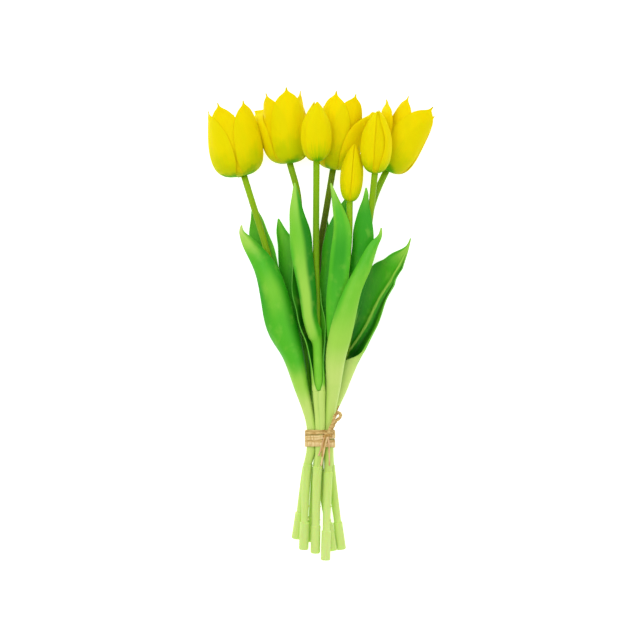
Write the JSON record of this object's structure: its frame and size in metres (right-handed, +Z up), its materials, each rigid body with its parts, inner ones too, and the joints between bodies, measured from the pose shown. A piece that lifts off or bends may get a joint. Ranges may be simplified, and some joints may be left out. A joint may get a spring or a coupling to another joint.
{
  "type": "bunch of tulips",
  "caption": "Bunch of cut yellow tulips, open blooms and closed buds with long green leaves, held by a raffia tie and lying on its side.",
  "frame": {"origin": "middle of the bounding box seen from above, on the surface that the bunch rests on", "axes": "+Y along the bunch towards the blooms, +Z up, +X to the right seen from above"},
  "size_m": [0.2115, 0.4406, 0.0671],
  "materials": {
    "petal": "soft satin petal skin, green at the foot",
    "stem": "satin, olive above and pale green at the cut end",
    "leaf": "satin with fine lengthwise veins",
    "raffia": "dry matt fibre",
    "heart": "matt"
  },
  "bodies": {
    "root": {"stem_a": "stem", "stem_b": "stem", "stem_c": "stem", "stem_d": "stem", "stem_e": "stem", "stem_f": "stem", "stem_g": "stem", "leaf_front_left": "leaf", "leaf_behind_left": "leaf", "leaf_low_left": "leaf", "leaf_rolled": "leaf", "leaf_channelled": "leaf", "leaf_upright": "leaf", "leaf_front_right": "leaf", "leaf_behind_right": "leaf", "leaf_behind_middle": "leaf", "leaf_far_right": "leaf", "leaf_under_middle": "leaf", "bloom_a": "petal", "bloom_b": "petal", "bud_c": "petal", "bloom_d": "petal", "bud_e": "petal", "bud_f": "petal", "bloom_g": "petal", "heart_a": "heart", "heart_b": "heart", "heart_d": "heart", "heart_g": "heart", "raffia_tie": "raffia"}
  },
  "joints": []
}
